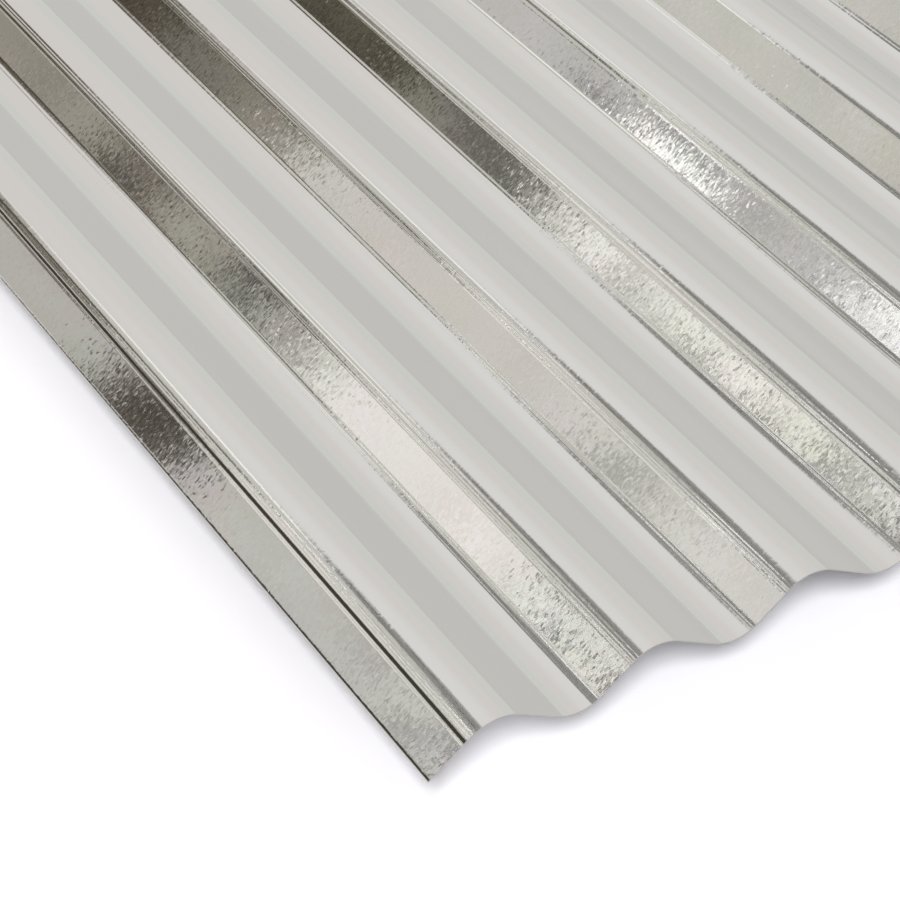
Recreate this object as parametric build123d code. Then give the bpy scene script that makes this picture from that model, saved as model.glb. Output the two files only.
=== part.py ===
from build123d import *
from math import atan2, cos, degrees, sin
import os

# A corrugated steel sheet as it is rolled: one strip of thin steel, bent into even round
# waves that run its whole length. It lies on its valleys, ridges along Y, wave across X.
# All sizes are in millimetres, and the wave is measured on the middle of the metal.

# Wave
pitch = 76.2            # crest to crest
wave_height = 16.5      # valley bottom to crest top
flank_length = 19.4     # straight slope between two bends
waves_across = 8.5      # the first edge is a valley, the last a crest

# Sheet
thickness = 0.5
length = 1828.8         # along the ridges
edge_past_valley = 4.6  # how far the first edge lies up from its valley bottom

# What follows from them
half_pitch = pitch / 2
sheet_width = waves_across * pitch

# Two equal bends, half a pitch apart and a wave height apart, share one straight tangent.
# Its length fixes the radius of the bends, and the radius fixes the slope.
bend_radius = (half_pitch**2 + wave_height**2 - flank_length**2) / (4 * wave_height)
bend_rise = 2 * bend_radius - wave_height
flank_slope = atan2(2 * bend_radius, flank_length) - atan2(bend_rise, half_pitch)

# Bends on either side of the sheet, so that both cut edges fall inside the drawn wave.
first_bend = -2
last_bend = int((edge_past_valley + sheet_width) / half_pitch) + 2

# The lowest metal touches the floor, and the sheet is centred over the origin.
middle_across = edge_past_valley + sheet_width / 2
lowest_line = thickness / 2


def bend(number, lift):
    """One bend of a line that runs along the wave, lifted off the middle of the metal."""
    across = number * half_pitch - middle_across
    if number % 2 == 0:
        centre = (across, lowest_line + bend_radius)
        radius = bend_radius - lift
        middle_angle = 270
    else:
        centre = (across, lowest_line + wave_height - bend_radius)
        radius = bend_radius + lift
        middle_angle = 90
    half_turn = degrees(flank_slope)
    if middle_angle == 270:
        start, turn = middle_angle - half_turn, 2 * half_turn
    else:
        start, turn = middle_angle + half_turn, -2 * half_turn
    return CenterArc(centre, radius, start, turn)


def wave_line(lift):
    """The bends and the straight flanks between them, in order from the first edge."""
    edges = []
    for number in range(first_bend, last_bend + 1):
        arc = bend(number, lift)
        if edges:
            edges.append(Line(edges[-1] @ 1, arc @ 0))
        edges.append(arc)
    return edges


def section():
    """The metal seen from the end: the upper and lower lines, closed at both edges."""
    upper = wave_line(thickness / 2)
    lower = wave_line(-thickness / 2)
    first_edge = Line(lower[0] @ 0, upper[0] @ 0)
    last_edge = Line(lower[-1] @ 1, upper[-1] @ 1)
    outline = Wire(upper + [last_edge] + lower + [first_edge])
    return Plane.XZ * make_face(outline)


def corrugated_sheet():
    """The wave along the whole length, slit to width."""
    strip = extrude(section(), amount=length / 2, both=True)
    width_band = Box(sheet_width, 2 * length, 4 * (wave_height + thickness))
    return strip & width_band


sheet = corrugated_sheet()
sheet.label = "corrugated_sheet"

os.makedirs("parts", exist_ok=True)
export_step(sheet, "parts/corrugated_sheet.step")

print(f"bend radius {bend_radius:.2f} mm, flank slope {degrees(flank_slope):.2f} degrees")
print(f"width {sheet_width:.1f} mm, cover {int(waves_across) * pitch:.1f} mm")
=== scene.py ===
from math import atan2, cos, pi, radians, sin, tan

import bpy
from mathutils import Matrix, Vector


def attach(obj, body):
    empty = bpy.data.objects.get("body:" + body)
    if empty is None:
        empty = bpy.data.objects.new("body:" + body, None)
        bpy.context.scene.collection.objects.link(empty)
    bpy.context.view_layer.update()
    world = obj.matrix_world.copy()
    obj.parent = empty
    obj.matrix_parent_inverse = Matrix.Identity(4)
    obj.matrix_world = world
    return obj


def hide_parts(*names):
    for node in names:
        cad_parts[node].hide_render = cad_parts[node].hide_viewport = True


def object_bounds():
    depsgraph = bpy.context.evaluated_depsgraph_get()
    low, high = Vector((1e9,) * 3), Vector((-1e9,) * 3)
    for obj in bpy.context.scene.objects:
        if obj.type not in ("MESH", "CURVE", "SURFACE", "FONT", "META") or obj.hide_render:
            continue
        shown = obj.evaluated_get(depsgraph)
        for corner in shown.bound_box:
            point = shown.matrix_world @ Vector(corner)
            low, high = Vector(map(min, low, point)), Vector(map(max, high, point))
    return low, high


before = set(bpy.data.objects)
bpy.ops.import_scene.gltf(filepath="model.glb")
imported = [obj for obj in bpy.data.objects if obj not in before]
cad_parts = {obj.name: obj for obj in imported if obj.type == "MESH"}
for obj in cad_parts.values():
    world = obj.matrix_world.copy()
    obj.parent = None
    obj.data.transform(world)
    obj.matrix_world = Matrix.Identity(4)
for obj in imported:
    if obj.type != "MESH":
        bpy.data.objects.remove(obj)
cad_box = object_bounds()

# A galvanised corrugated sheet over a white studio floor. Everything is in metres, in the
# sheet's own frame: ridges along Y, waves across X, the underside of its valleys at Z = 0.

# The wave, as the sheet is rolled
PITCH = 0.0762
WAVE_HEIGHT = 0.0165
FLANK_LENGTH = 0.0194
THICKNESS = 0.0005
SHEET_WIDTH = 8.5 * PITCH
SHEET_LENGTH = 1.8288
EDGE_PAST_VALLEY = 0.0046

HALF_PITCH = PITCH / 2
BEND_RADIUS = (HALF_PITCH**2 + WAVE_HEIGHT**2 - FLANK_LENGTH**2) / (4 * WAVE_HEIGHT)
BEND_RISE = 2 * BEND_RADIUS - WAVE_HEIGHT
FLANK_SLOPE = atan2(2 * BEND_RADIUS, FLANK_LENGTH) - atan2(BEND_RISE, HALF_PITCH)
FLANK_MIDDLE = 0.25  # pitches past the valley

# The first flank runs straight down to the cut edge, at valley height, and bends into its crest
# where the same slope still meets the same height.
SLOPE_RISE = tan(FLANK_SLOPE)
HALF_SLOPE_RISE = tan(FLANK_SLOPE / 2)
FIRST_FLANK_END = (WAVE_HEIGHT + EDGE_PAST_VALLEY * SLOPE_RISE - HALF_PITCH * HALF_SLOPE_RISE) / (
    SLOPE_RISE - HALF_SLOPE_RISE
)
FIRST_CREST_RADIUS = (HALF_PITCH - FIRST_FLANK_END) / sin(FLANK_SLOPE)

# Shallow ripples that the rolls leave along each rising flank, beside its crest and its valley.
# For each wave: where they start or end, in pitches past the valley, their length, height and count
CREST_RIPPLES = (
    (0.281, 0.0040, -0.00008, 1),
    (0.331, 0.0023, 0.00005, 2),
    (0.320, 0.0023, 0.00004, 2),
    (0.316, 0.0023, 0.00005, 2),
    (0.318, 0.0023, 0.000025, 2),
    (0.320, 0.0023, 0, 2),
    (0.320, 0.0023, 0, 2),
    (0.320, 0.0023, 0, 2),
    (0.320, 0.0023, 0, 2),
)
VALLEY_RIPPLES = (
    (0.010, 0.0025, 0, 1),
    (0.104, 0.0025, 0.00005, 1),
    (0.130, 0.0025, 0.00005, 1),
    (0.142, 0.0025, 0.00005, 1),
    (0.136, 0.0025, 0.00005, 1),
    (0.130, 0.0025, 0.00005, 1),
    (0.125, 0.0025, 0.00005, 1),
    (0.135, 0.0025, 0.00005, 1),
    (0.130, 0.0025, 0.00005, 1),
)

# The grid that is rolled: its columns across and its rows along. Columns past the edges, on two
# spare pitches, are gathered onto them and welded.
COLUMNS = 1000
ROWS = 48
SPARE_PITCHES = 2
WELD = 0.00001

# How many columns each part of a wave gets, as shares of the pitch and of the columns
COLUMN_SHARES = ((0, 0), (0.05, 0.08), (0.22, 0.15), (0.29, 0.27), (0.65, 0.42), (1, 1))

# Edges that turn more than this stay sharp, in degrees
SHARP_EDGE = 40

# The finish, in linear colours
ZINC = (0.80, 0.82, 0.812, 1)
# The cut steel comes in two shades: darker on the ends, as painted shade, and lighter on the slit
# sides, as painted light.
CUT_END_PAINTED_SHADE = (0.32, 0.31, 0.3, 1)
CUT_SIDE_PAINTED_LIGHT = (0.42, 0.41, 0.395, 1)
ZINC_ROUGHNESS = 0.05
CUT_ROUGHNESS = 0.7

# How far in from its ends and its leaning side edges the sheet shows its cut steel
END_SHOWS = 0.00002
SIDE_SHOWS = 0.00027

# The zinc's grain and its flecks: how fine they are, how high the grain stands, and how much a
# fleck leans. Both are twice as long across the waves as along them.
DRAWN_OUT = (0.5, 1, 0.5)
GRAIN_SCALE = 800
GRAIN_HEIGHT = 0.000005
FLECK_SCALE = 1050
FLECK_LEAN = 0.0065
FAR_LEAN = (8, 8, 8)

# Blotches where the zinc is rougher and smoother: noise levels, and what they make of the flecks
BLOTCH_SCALE = 350
BLOTCH_LEVELS = (0.45, 0.65)
BLOTCH_FLECKS = (0.4, 1)

# The camera's lens, place and axes, fitted to the photograph
LENS = 140.04
SENSOR = 36
NEAREST_SEEN = 0.05
FARTHEST_SEEN = 50
CAMERA_PLACE = Vector((-0.7353, -1.8515, 0.9761))
CAMERA_RIGHT = Vector((0.86624, -0.49025, -0.09638))
CAMERA_UP = Vector((0.37234, 0.50479, 0.77881))
CAMERA_FORWARD = Vector((0.33316, 0.71052, -0.61981))

# The studio floor, a little under the valleys, so that the shadow shows all along the edge
FLOOR = -0.026
FLOOR_REACH = 8
FLOOR_COLOUR = (0.89, 0.885, 0.92, 1)

# The lamp: where it stands, its width in degrees as the sheet sees it, and its strength
KEY_PLACE = Vector((-0.426, -0.838, 1.04))
KEY_WIDTH = 16
KEY_STRENGTH = 3.0

# The studio around the sheet, which the zinc mirrors
WHITE = (1, 1, 1, 1)
ROOM = (0.768, 0.723, 0.70, 1)

# Large places in it: azimuth and elevation, half length, half width and turn in degrees,
# softness, how much dark clutter, and colour. Those listed later stand before those above them.
AROUND = (
    ("grey ceiling", (0, 90), (600, 27), 0, 0.12, 0, (0.46, 0.44, 0.42)),
    ("soft boxes on the right", (130, 37), (45, 8), 0, 0.25, 0, (1.02, 0.99, 0.96)),
    ("soft boxes on the left", (-130, 37), (45, 8), 0, 0.25, 0, (1.02, 0.99, 0.96)),
    ("stands on the right", (130, 5), (45, 9), 0, 0.25, 0.5, (0.33, 0.31, 0.28)),
    ("stands on the left", (-130, 5), (45, 9), 0, 0.25, 0.5, (0.33, 0.31, 0.28)),
    ("doorway on the right", (112, 24), (7, 20), 0, 0.2, 0.5, (0.2, 0.185, 0.165)),
    ("doorway on the left", (-100, 24), (7, 20), 0, 0.2, 0.5, (0.2, 0.185, 0.165)),
    ("doorway behind", (158, 30), (9, 22), 15, 0.2, 0.5, (0.2, 0.185, 0.165)),
    ("pale ceiling", (0, 46), (22, 6), 0, 0.8, 0, (0.83, 0.792, 0.765)),
    ("green-grey wall", (48, 12), (30, 16), -12, 0.25, 0, (0.725, 0.71, 0.675)),
    ("low table", (50, -6), (30, 15), -12, 0.1, 0, (0.64, 0.61, 0.575)),
    ("dark side of the room", (-37, 22.9), (24, 7.5), -40, 0.05, 0, (0.06, 0.052, 0.04)),
    ("window", (-16.5, 41), (6, 1.8), -65, 0.5, 0, (1.08, 1.06, 1.01)),
    ("dark ceiling", (-19, 44.6), (12.5, 3.2), 14, 0.3, 0.7, (0.38, 0.365, 0.34)),
)

# The wall that the rising flanks mirror. For each flank, from the first edge: what comes along it,
# where its middle of change lies in pitches from the near end, how long the change takes, how
# much dark clutter it has, and its colour
WALL = (
    (
        ("dark shelf", -3, 0.1, 0, (0.06, 0.055, 0.045)),
        ("cluttered grey wall", -1.0, 0.3, 0.6, (0.65, 0.617, 0.583)),
        ("pale grey wall", 0.9, 0.5, 0, (0.61, 0.577, 0.543)),
        ("dark doorway", 3.05, 0.25, 0.5, (0.115, 0.097, 0.077)),
        ("grey wall", 4.08, 0.3, 0, (0.54, 0.506, 0.46)),
    ),
    (
        ("dark shelf", -3, 0.1, 0, (0.05, 0.045, 0.035)),
        ("cluttered wall", -1.6, 0.3, 1, (0.90, 0.86, 0.80)),
        ("bright wall", 1.0, 0.4, 0, (0.95, 0.89, 0.83)),
        ("cluttered shelf", 3.7, 0.7, 1, (0.45, 0.43, 0.38)),
        ("grey-green door", 4.6, 0.3, 0.8, (0.36, 0.33, 0.28)),
        ("dark doorway", 5.7, 0.3, 0.7, (0.26, 0.225, 0.185)),
        ("brown wall", 6.7, 0.2, 0.3, (0.39, 0.36, 0.31)),
        ("darker brown wall", 7.9, 0.4, 0, (0.35, 0.315, 0.26)),
    ),
    (
        ("dark shelf", -3, 0.1, 0, (0.10, 0.09, 0.07)),
        ("pale wall", -0.6, 0.3, 0, (0.785, 0.74, 0.70)),
        ("cream wall", 0.8, 0.6, 0.35, (0.745, 0.705, 0.65)),
        ("plain cream wall", 2.3, 0.6, 0, (0.71, 0.667, 0.616)),
        ("doorpost", 4.6, 0.6, 0.3, (0.73, 0.69, 0.64)),
        ("brown door", 5.65, 0.5, 0.5, (0.30, 0.27, 0.225)),
        ("dark doorway", 7.3, 1.2, 0.45, (0.08, 0.064, 0.048)),
    ),
    (
        ("dark ceiling", -3, 0.1, 0.7, (0.38, 0.365, 0.34)),
        ("bright wall", 0.1, 0.2, 0.7, (0.91, 0.87, 0.80)),
        ("dark post", 4.1, 0.7, 0.5, (0.16, 0.15, 0.12)),
        ("green door", 4.7, 0.2, 0.5, (0.28, 0.26, 0.225)),
        ("dark doorway", 5.75, 0.6, 0.5, (0.12, 0.105, 0.075)),
    ),
    (
        ("dark ceiling", -3, 0.1, 0.7, (0.38, 0.365, 0.34)),
        ("lamp", 1.2, 0.3, 0.8, (1.25, 1.2, 1.17)),
        ("cluttered shelf", 2.15, 0.5, 0.9, (0.6, 0.58, 0.56)),
        ("grey wall", 2.6, 0.3, 0.2, (0.58, 0.545, 0.52)),
        ("lamp", 3.45, 0.3, 0.8, (1.25, 1.2, 1.17)),
        ("cluttered shelf", 4.5, 0.3, 0.6, (0.56, 0.54, 0.52)),
        ("beige wall", 5.15, 0.3, 0, (0.60, 0.567, 0.54)),
        ("dark doorway", 8.9, 1.4, 0, (0.12, 0.105, 0.075)),
    ),
    (
        ("dark ceiling", -3, 0.1, 0.7, (0.38, 0.365, 0.34)),
        ("beige wall", 2.5, 0.4, 0, (0.66, 0.623, 0.567)),
        ("dark doorway", 9.6, 1.4, 0, (0.12, 0.105, 0.075)),
    ),
    (
        ("dark ceiling", -3, 0.1, 0.7, (0.38, 0.365, 0.34)),
        ("beige wall", 3.5, 0.8, 0, (0.66, 0.623, 0.567)),
        ("dark doorway", 10.9, 1.6, 0, (0.12, 0.105, 0.075)),
    ),
)

# The lowest and highest place along the wall, in pitches
WALL_START, WALL_END = -4, 14

# Where the wall fades out, as levels at which it is gone and whole: before the first flank and
# past the last, in flanks, far along, in pitches, and toward the middle of the room, in degrees
WALL_FIRST_FADE = (0.1, 0.2)
WALL_LAST_FADE = (8.0, 7.6)
WALL_FAR_FADE = (18, 16)
WALL_ROOM_FADE = (-10, -17)

# Half the width of the change from one flank's wall to the next, in flanks
FLANK_CHANGE = 0.1

# Unevenness of the studio: how fine and detailed it is, how far it pushes the edges of the large
# places in degrees and those of the wall in flanks and pitches, and how much it mottles and tints
UNEVEN_SCALE, UNEVEN_DETAIL = 1.5, 2
EDGE_PUSH = (1.2, 1.2, 0)
FLANK_PUSH = 0.3
ALONG_PUSH = 0.6
MOTTLE = 0.8
TINT = (0.4, 0.4, 0.4)

# Dark clutter: how fine and detailed it is, the noise levels at which it is dark and gone, and
# how much it mottles the wall
CLUTTER_SCALE, CLUTTER_DETAIL = 1.1, 1
CLUTTER_LEVELS = (0.43, 0.46)
CLUTTER_MOTTLE = 2
NOISE_ROUGHNESS = 0.6

# The middle of a noise colour
MIDDLE = (0.5, 0.5, 0.5)


# Nodes


def put(tree, socket, value):
    """Link an output to a socket, or set the socket's own value."""
    if isinstance(value, bpy.types.NodeSocket):
        tree.links.new(value, socket)
    else:
        socket.default_value = value


def add(tree, kind, inputs=(), **settings):
    """A node with its settings and its inputs, given as {socket: value}."""
    node = tree.nodes.new(kind)
    for name, value in settings.items():
        setattr(node, name, value)
    for name, value in dict(inputs).items():
        put(tree, node.inputs[name], value)
    return node


def calc(tree, operation, *values):
    """One step of arithmetic."""
    return add(tree, "ShaderNodeMath", dict(enumerate(values)), operation=operation).outputs[0]


def steer(tree, operation, *values):
    """One step of arithmetic on vectors."""
    return add(tree, "ShaderNodeVectorMath", dict(enumerate(values)), operation=operation).outputs[0]


def scaled(tree, vector, factor):
    """A vector or colour made larger or smaller."""
    inputs = {0: vector, "Scale": factor}
    return add(tree, "ShaderNodeVectorMath", inputs, operation="SCALE").outputs[0]


def parts_of(tree, vector):
    """The X, Y and Z of a vector."""
    return add(tree, "ShaderNodeSeparateXYZ", {0: vector}).outputs


def choose(tree, condition, otherwise, value):
    """One value where the condition holds, the other elsewhere."""
    inputs = {"Factor": condition, "A": otherwise, "B": value}
    return add(tree, "ShaderNodeMix", inputs).outputs[0]


def lay_over(tree, mask, below, above):
    """One colour laid over another where the mask is 1."""
    mixed = add(tree, "ShaderNodeMix", data_type="RGBA")
    put(tree, mixed.inputs[0], mask)
    put(tree, mixed.inputs[6], below)
    put(tree, mixed.inputs[7], above)
    return mixed.outputs[2]


def between(tree, value, low, high):
    """0 up to low, 1 from high on, and a smooth rise between them."""
    rise = {"Value": value, "From Min": low, "From Max": high}
    return add(tree, "ShaderNodeMapRange", rise, interpolation_type="SMOOTHSTEP").outputs[0]


def ask(tree, name, value, kind="NodeSocketFloat"):
    """A named input of a group."""
    socket = tree.interface.new_socket(name, in_out="INPUT", socket_type=kind)
    socket.default_value = value


# The sheet


def bend_drop(tree, radius, distance):
    """How far a bend has dropped at a distance from its top."""
    radius_squared = calc(tree, "MULTIPLY", radius, radius)
    distance_squared = calc(tree, "MULTIPLY", distance, distance)
    left_over = calc(tree, "SUBTRACT", radius_squared, distance_squared)
    return calc(tree, "SUBTRACT", radius, calc(tree, "SQRT", left_over))


def height_of_wave(tree, given, across):
    """Height of the metal's middle above the valley bottoms, a distance across the sheet."""
    half = calc(tree, "DIVIDE", given["Pitch"], 2)
    from_valley = calc(tree, "PINGPONG", across, half)
    from_crest = calc(tree, "SUBTRACT", half, from_valley)
    from_bend = calc(tree, "MINIMUM", from_valley, from_crest)
    bend_half = calc(tree, "MULTIPLY", given["Bend Radius"], calc(tree, "SINE", given["Flank Slope"]))
    on_bend = calc(tree, "MINIMUM", from_bend, bend_half)
    bend_rise = bend_drop(tree, given["Bend Radius"], on_bend)
    on_flank = calc(tree, "SUBTRACT", from_bend, on_bend)
    flank_rise = calc(tree, "MULTIPLY", on_flank, calc(tree, "TANGENT", given["Flank Slope"]))
    rise = calc(tree, "ADD", bend_rise, flank_rise)
    drop = calc(tree, "SUBTRACT", given["Wave Height"], rise)
    nearer_crest = calc(tree, "LESS_THAN", from_crest, from_valley)
    return choose(tree, nearer_crest, rise, drop)


def height_of_first_flank(tree, given, across):
    """The same for the first half wave, whose flank runs straight to the cut edge."""
    past_edge = calc(tree, "SUBTRACT", across, given["Edge Past Valley"])
    flank = calc(tree, "MULTIPLY", past_edge, calc(tree, "TANGENT", given["Flank Slope"]))
    radius = given["First Crest Radius"]
    half = calc(tree, "DIVIDE", given["Pitch"], 2)
    from_crest = calc(tree, "MINIMUM", calc(tree, "SUBTRACT", half, across), radius)
    crest = calc(tree, "SUBTRACT", given["Wave Height"], bend_drop(tree, radius, from_crest))
    past_flank = calc(tree, "GREATER_THAN", across, given["First Flank End"])
    return choose(tree, past_flank, flank, crest)


def ripples(tree, from_start, length, height, count):
    """A short run of low ripples that begins a distance from_start back and fades at both ends."""
    run = calc(tree, "DIVIDE", from_start, calc(tree, "MULTIPLY", length, count))
    inside = calc(tree, "MINIMUM", calc(tree, "MAXIMUM", run, 0), 1)
    swell = calc(tree, "SINE", calc(tree, "MULTIPLY", inside, pi))
    turns = calc(tree, "DIVIDE", from_start, length)
    wave = calc(tree, "SINE", calc(tree, "MULTIPLY", turns, 2 * pi))
    fade = calc(tree, "POWER", swell, 0.5)
    return calc(tree, "MULTIPLY", calc(tree, "MULTIPLY", wave, fade), height)


def by_wave(tree, number, values):
    """One of a few values, picked by the number of the wave."""
    switch = add(tree, "GeometryNodeIndexSwitch", data_type="FLOAT")
    while len(switch.index_switch_items) < len(values):
        switch.index_switch_items.new()
    put(tree, switch.inputs["Index"], number)
    for slot, value in zip(list(switch.inputs)[1:], values):
        slot.default_value = value
    return switch.outputs[0]


def roll_marks(tree, given, across):
    """The ripples on every rising flank, as a height."""
    waves = calc(tree, "DIVIDE", across, given["Pitch"])
    number = calc(tree, "FLOOR", waves)
    along = calc(tree, "SUBTRACT", waves, number)
    start, *crest_shape = [by_wave(tree, number, values) for values in zip(*CREST_RIPPLES)]
    end, *valley_shape = [by_wave(tree, number, values) for values in zip(*VALLEY_RIPPLES)]
    past_start = calc(tree, "MULTIPLY", calc(tree, "SUBTRACT", along, start), given["Pitch"])
    before_end = calc(tree, "MULTIPLY", calc(tree, "SUBTRACT", end, along), given["Pitch"])
    beside_crest = ripples(tree, past_start, *crest_shape)
    beside_valley = ripples(tree, before_end, *valley_shape)
    return calc(tree, "ADD", beside_crest, beside_valley)


def gathered(tree, across, pitch):
    """Moves the columns of the grid closer together where the ripples are."""
    waves = calc(tree, "DIVIDE", across, pitch)
    number = calc(tree, "FLOOR", waves)
    share = calc(tree, "SUBTRACT", waves, number)
    curve = add(tree, "ShaderNodeFloatCurve", {"Value": share})
    line = curve.mapping.curves[0]
    for x, y in COLUMN_SHARES[1:-1]:
        line.points.new(x, y)
    for point in line.points:
        point.handle_type = "VECTOR"
    curve.mapping.update()
    return calc(tree, "MULTIPLY", calc(tree, "ADD", number, curve.outputs[0]), pitch)


def sheet_inputs(tree):
    """The sizes of the sheet, as the tree's named inputs."""
    for name, value in (
        ("Pitch", PITCH),
        ("Wave Height", WAVE_HEIGHT),
        ("Bend Radius", BEND_RADIUS),
        ("Flank Slope", FLANK_SLOPE),
        ("Width", SHEET_WIDTH),
        ("Length", SHEET_LENGTH),
        ("Edge Past Valley", EDGE_PAST_VALLEY),
        ("First Flank End", FIRST_FLANK_END),
        ("First Crest Radius", FIRST_CREST_RADIUS),
    ):
        ask(tree, name, value)
    ask(tree, "Columns", COLUMNS, "NodeSocketInt")
    ask(tree, "Rows", ROWS, "NodeSocketInt")
    ask(tree, "Material", None, "NodeSocketMaterial")
    return add(tree, "NodeGroupInput").outputs


def sheet_tree():
    """Geometry Nodes: a flat grid rolled into the wave."""
    tree = bpy.data.node_groups.new("corrugated sheet", "GeometryNodeTree")
    given = sheet_inputs(tree)
    tree.interface.new_socket("Geometry", in_out="OUTPUT", socket_type="NodeSocketGeometry")

    spare = calc(tree, "MULTIPLY", given["Pitch"], SPARE_PITCHES)
    size = {
        "Size X": calc(tree, "ADD", given["Width"], spare),
        "Size Y": given["Length"],
        "Vertices X": given["Columns"],
        "Vertices Y": given["Rows"],
    }
    grid = add(tree, "GeometryNodeMeshGrid", size)
    place = parts_of(tree, add(tree, "GeometryNodeInputPosition").outputs[0])
    middle = calc(tree, "ADD", calc(tree, "DIVIDE", given["Width"], 2), given["Edge Past Valley"])
    spread = gathered(tree, calc(tree, "ADD", place["X"], middle), given["Pitch"])
    last_edge = calc(tree, "ADD", given["Edge Past Valley"], given["Width"])
    across = calc(tree, "MAXIMUM", calc(tree, "MINIMUM", spread, last_edge), given["Edge Past Valley"])

    in_first_half = calc(tree, "LESS_THAN", across, calc(tree, "DIVIDE", given["Pitch"], 2))
    wave_height = height_of_wave(tree, given, across)
    height = choose(tree, in_first_half, wave_height, height_of_first_flank(tree, given, across))
    marked = calc(tree, "ADD", height, roll_marks(tree, given, across))
    from_middle = calc(tree, "SUBTRACT", across, middle)
    rolled = add(tree, "ShaderNodeCombineXYZ", {"X": from_middle, "Y": place["Y"], "Z": marked})

    wave = {"Geometry": grid.outputs["Mesh"], "Position": rolled.outputs[0]}
    sheet = add(tree, "GeometryNodeSetPosition", wave).outputs[0]
    sheet = add(tree, "GeometryNodeMergeByDistance", {"Geometry": sheet, "Distance": WELD}).outputs[0]
    sheet = add(tree, "GeometryNodeSetShadeSmooth", {"Geometry": sheet}).outputs[0]
    sheet = add(tree, "GeometryNodeRealizeInstances", {"Geometry": sheet}).outputs[0]
    dress = {"Geometry": sheet, "Material": given["Material"]}
    sheet = add(tree, "GeometryNodeSetMaterial", dress).outputs[0]
    add(tree, "NodeGroupOutput", {"Geometry": sheet})
    return tree


def rolled_mesh(material):
    """The rolled grid with the metal's thickness, as a plain mesh."""
    holder = bpy.data.objects.new("sheet_work", bpy.data.meshes.new("sheet_work"))
    bpy.context.scene.collection.objects.link(holder)
    rolling = holder.modifiers.new("rolling", "NODES")
    rolling.node_group = sheet_tree()
    for item in rolling.node_group.interface.items_tree:
        if item.name == "Material":
            rolling[item.identifier] = material
    skin = holder.modifiers.new("thickness", "SOLIDIFY")
    skin.thickness = THICKNESS
    skin.offset = 0
    skin.use_even_offset = True
    graph = bpy.context.evaluated_depsgraph_get()
    mesh = bpy.data.meshes.new_from_object(holder.evaluated_get(graph))
    bpy.data.objects.remove(holder)
    return mesh


def corrugated_sheet(material):
    """The whole sheet as one closed skin, slit straight at both edges."""
    mesh = rolled_mesh(material)
    mesh.name = "rolled_sheet"
    mesh.transform(Matrix.Translation((0, 0, THICKNESS / 2)))
    first_edge, last_edge = cad_box[0].x, cad_box[1].x
    for corner in mesh.vertices:
        corner.co.x = min(max(corner.co.x, first_edge), last_edge)
    mesh.set_sharp_from_angle(angle=radians(SHARP_EDGE))
    sheet = bpy.data.objects.new("rolled_sheet", mesh)
    bpy.context.scene.collection.objects.link(sheet)
    return sheet


# The finish


def cut_faces(tree, place):
    """Where the sheet shows its cut steel: at its ends, and at its sides."""
    sides = parts_of(tree, place)
    half_length, half_width = SHEET_LENGTH / 2, SHEET_WIDTH / 2
    past_end = calc(tree, "GREATER_THAN", calc(tree, "ABSOLUTE", sides["Y"]), half_length - END_SHOWS)
    past_side = calc(tree, "GREATER_THAN", calc(tree, "ABSOLUTE", sides["X"]), half_width - SIDE_SHOWS)
    return past_end, past_side


def how_flecked(tree, place, cut):
    """How strongly the zinc is grained and flecked: uneven, and not at all on the cuts."""
    blotches = {"Vector": place, "Scale": BLOTCH_SCALE, "Detail": 1}
    levels = {
        "Value": add(tree, "ShaderNodeTexNoise", blotches).outputs["Fac"],
        "From Min": BLOTCH_LEVELS[0],
        "From Max": BLOTCH_LEVELS[1],
        "To Min": BLOTCH_FLECKS[0],
        "To Max": BLOTCH_FLECKS[1],
    }
    rough = add(tree, "ShaderNodeMapRange", levels).outputs[0]
    return calc(tree, "MULTIPLY", rough, calc(tree, "SUBTRACT", 1, cut))


def flecked_normal(tree, place, flecked):
    """A faint grain, and flecks that lean each its own way, a few of them much further."""
    drawn_out = steer(tree, "MULTIPLY", place, DRAWN_OUT)
    fine = {"Vector": drawn_out, "Scale": GRAIN_SCALE, "Detail": 1, "Roughness": 0.5}
    grain = add(tree, "ShaderNodeTexNoise", fine).outputs["Fac"]
    height = calc(tree, "MULTIPLY", calc(tree, "SUBTRACT", grain, 0.5), flecked)
    grained = {"Strength": 1, "Distance": GRAIN_HEIGHT, "Height": height}
    bump = add(tree, "ShaderNodeBump", grained).outputs[0]

    cells = {"Vector": drawn_out, "Scale": FLECK_SCALE, "Randomness": 1}
    fleck = add(tree, "ShaderNodeTexVoronoi", cells).outputs["Color"]
    lean = steer(tree, "SUBTRACT", fleck, MIDDLE)
    lean_cubed = steer(tree, "MULTIPLY", steer(tree, "MULTIPLY", lean, lean), lean)
    mixed = steer(tree, "MULTIPLY_ADD", lean_cubed, FAR_LEAN, lean)
    turned = scaled(tree, mixed, calc(tree, "MULTIPLY", flecked, FLECK_LEAN))
    return steer(tree, "NORMALIZE", steer(tree, "ADD", bump, turned))


def galvanised_steel():
    """Bright zinc: a mirror broken up by fine leaning flecks, and dull steel where it is cut, with
    painted shade on the ends and painted light on the sides.
    """
    material = bpy.data.materials.new("galvanised_steel")
    material.use_nodes = True
    tree = material.node_tree
    shader = tree.nodes["Principled BSDF"]
    place = add(tree, "ShaderNodeTexCoord").outputs["Object"]
    past_end, past_side = cut_faces(tree, place)
    cut = calc(tree, "MAXIMUM", past_end, past_side)
    flecked = how_flecked(tree, place, cut)
    # The cut ends are painted darker and the slit sides lighter: painted shade and painted light on
    # the same cut steel.
    zinc_with_shaded_ends = lay_over(tree, past_end, ZINC, CUT_END_PAINTED_SHADE)
    put(tree, shader.inputs["Base Color"], lay_over(tree, past_side, zinc_with_shaded_ends, CUT_SIDE_PAINTED_LIGHT))
    put(tree, shader.inputs["Metallic"], choose(tree, cut, 1, 0))
    put(tree, shader.inputs["Roughness"], choose(tree, cut, ZINC_ROUGHNESS, CUT_ROUGHNESS))
    put(tree, shader.inputs["Normal"], flecked_normal(tree, place, flecked))
    return material


# The studio


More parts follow.
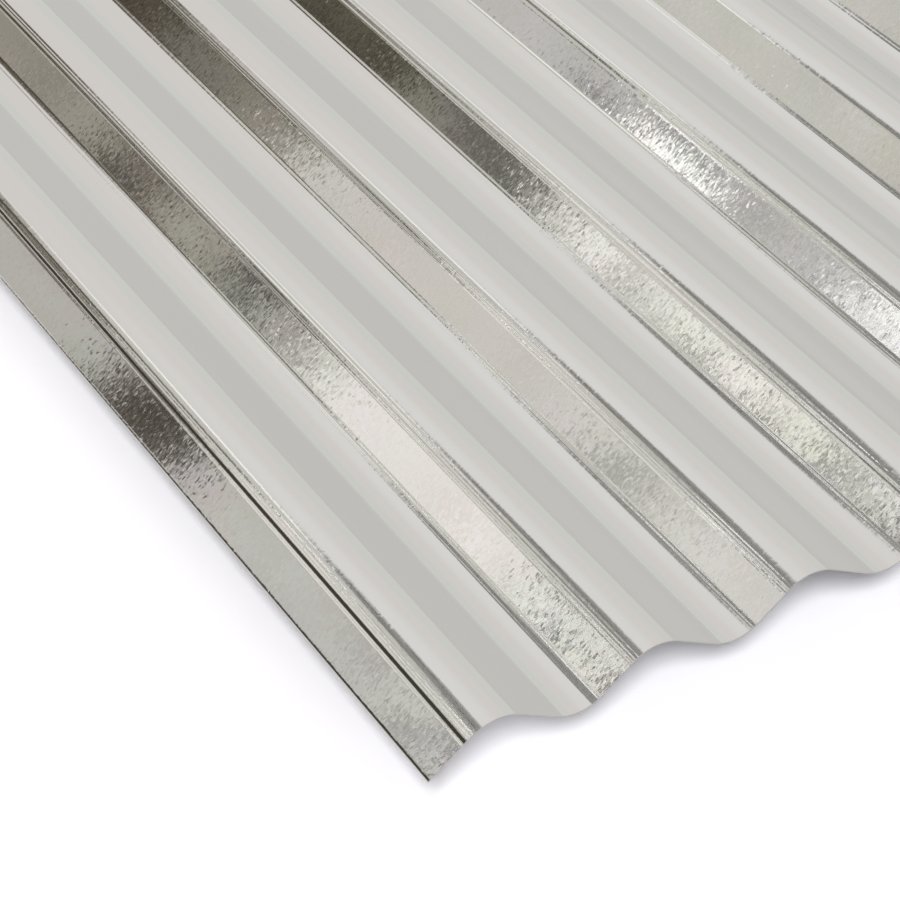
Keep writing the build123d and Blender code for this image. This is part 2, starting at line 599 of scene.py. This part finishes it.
def patch_group():
    """A soft-edged oval in the studio's surroundings, as a mask. Places are azimuth and elevation."""
    group = bpy.data.node_groups.new("studio patch", "ShaderNodeTree")
    for name in ("Place", "Centre", "Size"):
        ask(group, name, (1, 1, 1), "NodeSocketVector")
    ask(group, "Turn", 0)
    ask(group, "Softness", 0.2)
    group.interface.new_socket("Mask", in_out="OUTPUT", socket_type="NodeSocketFloat")
    given = add(group, "NodeGroupInput").outputs
    turn = add(group, "ShaderNodeCombineXYZ", {"Z": calc(group, "RADIANS", given["Turn"])})
    oval = {
        "Vector": given["Place"],
        "Location": given["Centre"],
        "Rotation": turn.outputs[0],
        "Scale": given["Size"],
    }
    own = add(group, "ShaderNodeMapping", oval, vector_type="TEXTURE").outputs[0]
    out = add(group, "ShaderNodeVectorMath", {0: own}, operation="LENGTH").outputs["Value"]
    edge = {
        "Value": out,
        "From Min": calc(group, "SUBTRACT", 1, given["Softness"]),
        "From Max": calc(group, "ADD", 1, given["Softness"]),
        "To Min": 1,
        "To Max": 0,
    }
    mask = add(group, "ShaderNodeMapRange", edge, interpolation_type="SMOOTHSTEP").outputs[0]
    add(group, "NodeGroupOutput", {"Mask": mask})
    return group


def flat_noise(tree, place, scale, detail):
    """Noise over the directions of the studio."""
    inputs = {"Vector": place, "Scale": scale, "Detail": detail, "Roughness": NOISE_ROUGHNESS}
    return add(tree, "ShaderNodeTexNoise", inputs, noise_dimensions="2D").outputs


def large_places(tree, place):
    """The room with its large places: its colour, and how free of clutter it is."""
    group = patch_group()
    colour, clear = ROOM, 1
    for name, centre, size, turn, softness, clutter, patch_colour in AROUND:
        patch = add(tree, "ShaderNodeGroup", node_tree=group, label=name)
        put(tree, patch.inputs["Place"], place)
        patch.inputs["Centre"].default_value = (*centre, 0)
        patch.inputs["Size"].default_value = (*size, 1)
        patch.inputs["Turn"].default_value = turn
        patch.inputs["Softness"].default_value = softness
        mask = patch.outputs["Mask"]
        colour = lay_over(tree, mask, colour, (*patch_colour, 1))
        clear = choose(tree, mask, clear, 1 - clutter)
    return colour, clear


def on_the_flanks(tree, way):
    """Which rising flank shows a direction of the studio in the photograph, and where along it."""
    facing = (-sin(FLANK_SLOPE), 0, cos(FLANK_SLOPE))
    line = parts_of(tree, steer(tree, "REFLECT", way, facing))
    reach = calc(tree, "DIVIDE", WAVE_HEIGHT / 2 - CAMERA_PLACE.z, line["Z"])
    first_edge, near_end = cad_box[0].x, cad_box[0].y
    x_from_edge = calc(tree, "MULTIPLY_ADD", line["X"], reach, CAMERA_PLACE.x - first_edge)
    y_from_end = calc(tree, "MULTIPLY_ADD", line["Y"], reach, CAMERA_PLACE.y - near_end)
    before_first = EDGE_PAST_VALLEY / PITCH + (1 - FLANK_MIDDLE)
    number = calc(tree, "MULTIPLY_ADD", x_from_edge, 1 / PITCH, before_first)
    return number, calc(tree, "DIVIDE", y_from_end, PITCH)


def wall_along(tree, along, places):
    """What is met along one flank: its colour, and how free of clutter it is."""
    reach = WALL_END - WALL_START
    share = calc(tree, "MULTIPLY_ADD", along, 1 / reach, -WALL_START / reach)
    ramp = add(tree, "ShaderNodeValToRGB", {"Fac": share})
    stops = ramp.color_ramp.elements
    stops.remove(stops[1])
    before = None
    for _, middle, change, clutter, colour in places:
        after = (*colour, 1 - clutter)
        if before is None:
            stops[0].color = after
        else:
            for place, shade in ((middle - change / 2, before), (middle + change / 2, after)):
                stops.new((place - WALL_START) / reach).color = shade
        before = after
    return ramp.outputs["Color"], ramp.outputs["Alpha"]


def whole_wall(tree, number, along):
    """The wall of every flank, one beside the other."""
    wall, clear = wall_along(tree, along, WALL[0])
    for row, places in enumerate(WALL[1:], 2):
        middle = row - 0.5
        past = between(tree, number, middle - FLANK_CHANGE, middle + FLANK_CHANGE)
        next_wall, next_clear = wall_along(tree, along, places)
        wall = lay_over(tree, past, wall, next_wall)
        clear = choose(tree, past, clear, next_clear)
    return wall, clear


def mottled(tree, wall, clear, uneven, specks):
    """The wall's colour made uneven, the more so where it is cluttered."""
    clutter = calc(tree, "SUBTRACT", CLUTTER_MOTTLE, calc(tree, "MULTIPLY", clear, CLUTTER_MOTTLE))
    fine = calc(tree, "MULTIPLY", calc(tree, "SUBTRACT", specks, 0.5), clutter)
    coarse = calc(tree, "MULTIPLY_ADD", parts_of(tree, uneven)["Z"], MOTTLE, 1)
    tint = steer(tree, "MULTIPLY_ADD", uneven, TINT, WHITE[:3])
    return scaled(tree, steer(tree, "MULTIPLY", wall, tint), calc(tree, "ADD", coarse, fine))


def where_the_wall_is(tree, number, along, azimuth):
    """A mask of the directions that the wall takes up."""
    past_first = between(tree, number, *WALL_FIRST_FADE)
    before_last = between(tree, number, *WALL_LAST_FADE)
    near = between(tree, along, *WALL_FAR_FADE)
    out_of_room = between(tree, azimuth, *WALL_ROOM_FADE)
    beside = calc(tree, "MULTIPLY", past_first, before_last)
    return calc(tree, "MULTIPLY", beside, calc(tree, "MULTIPLY", near, out_of_room))


def studio_colour(tree):
    """What the studio looks like in every direction."""
    way = add(tree, "ShaderNodeTexCoord").outputs["Generated"]
    parts = parts_of(tree, way)
    azimuth = calc(tree, "DEGREES", calc(tree, "ARCTAN2", parts["X"], parts["Y"]))
    elevation = calc(tree, "DEGREES", calc(tree, "ARCSINE", parts["Z"]))
    place = add(tree, "ShaderNodeCombineXYZ", {"X": azimuth, "Y": elevation}).outputs[0]
    noise = flat_noise(tree, place, UNEVEN_SCALE, UNEVEN_DETAIL)["Color"]
    uneven = steer(tree, "SUBTRACT", noise, MIDDLE)
    specks = flat_noise(tree, place, CLUTTER_SCALE, CLUTTER_DETAIL)["Fac"]
    room, room_clear = large_places(tree, steer(tree, "MULTIPLY_ADD", uneven, EDGE_PUSH, place))

    push = parts_of(tree, uneven)
    number, along = on_the_flanks(tree, way)
    number = calc(tree, "MULTIPLY_ADD", push["X"], FLANK_PUSH, number)
    along = calc(tree, "MULTIPLY_ADD", push["Y"], ALONG_PUSH, along)
    wall, wall_clear = whole_wall(tree, number, along)
    wall = mottled(tree, wall, wall_clear, uneven, specks)

    on_wall = where_the_wall_is(tree, number, along, azimuth)
    colour = lay_over(tree, on_wall, room, wall)
    clear = choose(tree, on_wall, room_clear, wall_clear)
    lit = calc(tree, "MAXIMUM", clear, between(tree, specks, *CLUTTER_LEVELS))
    return scaled(tree, colour, lit)


def studio():
    """Pale surroundings with dark and bright places, white to the camera."""
    world = bpy.data.worlds.new("studio")
    bpy.context.scene.world = world
    world.use_nodes = True
    world.cycles.sampling_method = "NONE"
    tree = world.node_tree
    tree.nodes.clear()
    room = add(tree, "ShaderNodeBackground", {"Color": studio_colour(tree), "Strength": 1})
    backdrop = add(tree, "ShaderNodeBackground", {"Color": WHITE, "Strength": 1})
    to_camera = add(tree, "ShaderNodeLightPath").outputs["Is Camera Ray"]
    views = {0: to_camera, 1: room.outputs[0], 2: backdrop.outputs[0]}
    seen = add(tree, "ShaderNodeMixShader", views)
    add(tree, "ShaderNodeOutputWorld", {"Surface": seen.outputs[0]})


def floor():
    """A white floor that keeps the sheet's shadow."""
    mesh = bpy.data.meshes.new("floor")
    turns = ((-1, -1), (1, -1), (1, 1), (-1, 1))
    corners = [(x * FLOOR_REACH, y * FLOOR_REACH, FLOOR) for x, y in turns]
    mesh.from_pydata(corners, [], [(0, 1, 2, 3)])
    material = bpy.data.materials.new("floor")
    material.use_nodes = True
    shader = material.node_tree.nodes["Principled BSDF"]
    shader.inputs["Base Color"].default_value = FLOOR_COLOUR
    shader.inputs["Roughness"].default_value = 1
    shader.inputs["Specular IOR Level"].default_value = 0
    mesh.materials.append(material)
    ground = bpy.data.objects.new("floor", mesh)
    bpy.context.scene.collection.objects.link(ground)


def key_light():
    """A broad soft lamp above the near end and a little to the left, which the zinc doesn't mirror."""
    lamp = bpy.data.lights.new("key", "SUN")
    lamp.angle = radians(KEY_WIDTH)
    lamp.energy = KEY_STRENGTH
    holder = bpy.data.objects.new("key", lamp)
    bpy.context.scene.collection.objects.link(holder)
    aim = (-KEY_PLACE).to_track_quat("-Z", "Y").to_matrix()
    holder.matrix_world = Matrix.Translation(KEY_PLACE) @ aim.to_4x4()
    holder.visible_glossy = False


def camera():
    """The photograph's viewpoint."""
    lens = bpy.data.cameras.new("camera")
    lens.lens = LENS
    lens.sensor_width = SENSOR
    lens.clip_start = NEAREST_SEEN
    lens.clip_end = FARTHEST_SEEN
    holder = bpy.data.objects.new("camera", lens)
    bpy.context.scene.collection.objects.link(holder)
    axes = Matrix((CAMERA_RIGHT, CAMERA_UP, -CAMERA_FORWARD)).transposed()
    holder.matrix_world = Matrix.Translation(CAMERA_PLACE) @ axes.to_4x4()
    bpy.context.scene.camera = holder


zinc = galvanised_steel()
sheet = corrugated_sheet(zinc)
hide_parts("corrugated_sheet")
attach(sheet, "root")

studio()
floor()
key_light()
camera()

bpy.context.scene.view_settings.view_transform = "Standard"
